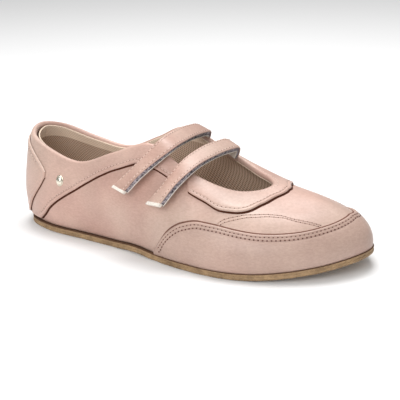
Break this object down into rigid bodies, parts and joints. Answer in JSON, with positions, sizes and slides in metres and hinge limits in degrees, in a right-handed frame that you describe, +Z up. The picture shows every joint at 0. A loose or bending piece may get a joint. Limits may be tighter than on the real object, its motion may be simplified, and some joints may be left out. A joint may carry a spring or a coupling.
{
  "type": "flat shoe",
  "caption": "Soft satin flat shoe with a scooped throat, hook-and-loop instep straps, a wrap-round toe guard, a heel counter and a thin gum rubber sole.",
  "frame": {"origin": "on the floor under the middle of the shoe's bounding box", "axes": "+X towards the toe, +Y towards the medial side, +Z up"},
  "size_m": [0.2408, 0.09, 0.0733],
  "materials": {
    "satin": "dusty pink satin",
    "gum_rubber": "matt gum",
    "lining": "tan twill",
    "stud_metal": "pale gold, polished"
  },
  "bodies": {
    "root": {"outsole": "gum_rubber", "insole": "lining", "upper": "satin", "toe_guard": "satin", "quarter_band": "satin", "throat_band": "satin", "heel_counter": "satin", "strap_rear": "satin", "strap_front": "satin", "stud": "stud_metal"}
  },
  "joints": []
}
